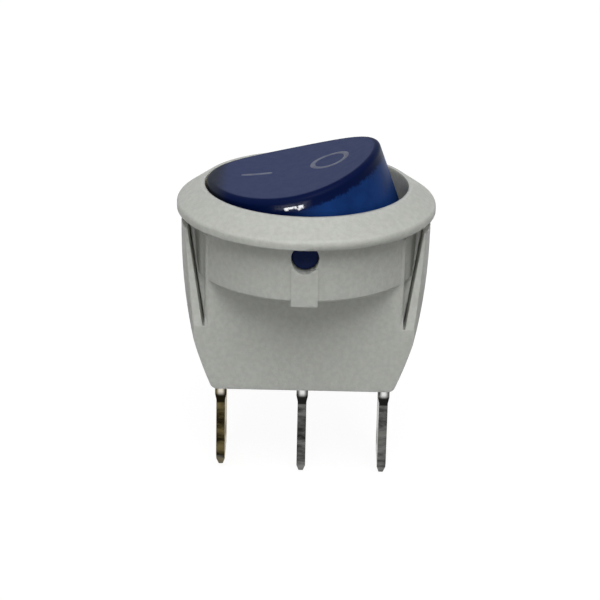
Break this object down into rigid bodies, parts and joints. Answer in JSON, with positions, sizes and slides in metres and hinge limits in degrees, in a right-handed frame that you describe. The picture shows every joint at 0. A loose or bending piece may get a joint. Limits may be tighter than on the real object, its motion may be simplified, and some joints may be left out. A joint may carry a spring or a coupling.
{
  "type": "rocker switch",
  "caption": "Round snap-in panel rocker switch with a translucent blue rocker, a pilot lamp inside and blade terminals below.",
  "frame": {"origin": "centre of the seat plane under the bezel, on the collar's axis", "axes": "+Z out of the panel along the collar's axis, +X to the rocker's raised end in the picture, -Y to the picture's camera"},
  "size_m": [0.023, 0.023, 0.0313],
  "materials": {
    "nylon": "satin off-white nylon",
    "blue_lens": "translucent dark blue, dished top matte",
    "acetal": "natural white",
    "spring_steel": "drawn wire",
    "brass": "bare, dull",
    "tinned": "tin plated",
    "silver": "silver contact face",
    "copper": "bare copper alloy",
    "lamp_glass": "clear",
    "resistor_body": "lacquer"
  },
  "bodies": {
    "housing": {"housing": "nylon", "terminal_lamp": "brass", "terminal_common": "tinned", "terminal_load": "tinned", "load_contact": "silver", "lamp_spring": "spring_steel", "load_spring": "spring_steel"},
    "rocker": {"rocker": "blue_lens", "pilot_lamp": "lamp_glass", "resistor": "resistor_body", "lamp_lead": "tinned", "link_lead": "tinned", "resistor_lead": "tinned", "plunger_spring": "spring_steel"},
    "plunger": {"plunger": "acetal"},
    "blade": {"contact_blade": "copper", "blade_contact": "silver"}
  },
  "joints": [
    {"name": "rocker_tilt", "type": "hinge", "parent": "housing", "child": "rocker", "pos_m": [0, 0, -0.0012], "axis": [0, 1, 0], "range_deg": [0, 26], "deforming": ["lamp_spring", "load_spring"]},
    {"name": "plunger_slide", "type": "slide", "parent": "rocker", "child": "plunger", "axis": [-0.225, 0, 0.9744], "range_m": [0, 0.0008], "stiffness_N_per_m": 300, "deforming": ["plunger_spring"]},
    {"name": "blade_rock", "type": "hinge", "parent": "housing", "child": "blade", "pos_m": [0, 0, -0.00817], "axis": [0, 1, 0], "range_deg": [-10, 0]}
  ],
  "couplings": [
    {"joint": "blade_rock", "follows": "rocker_tilt", "ratio": -0.38461}
  ]
}
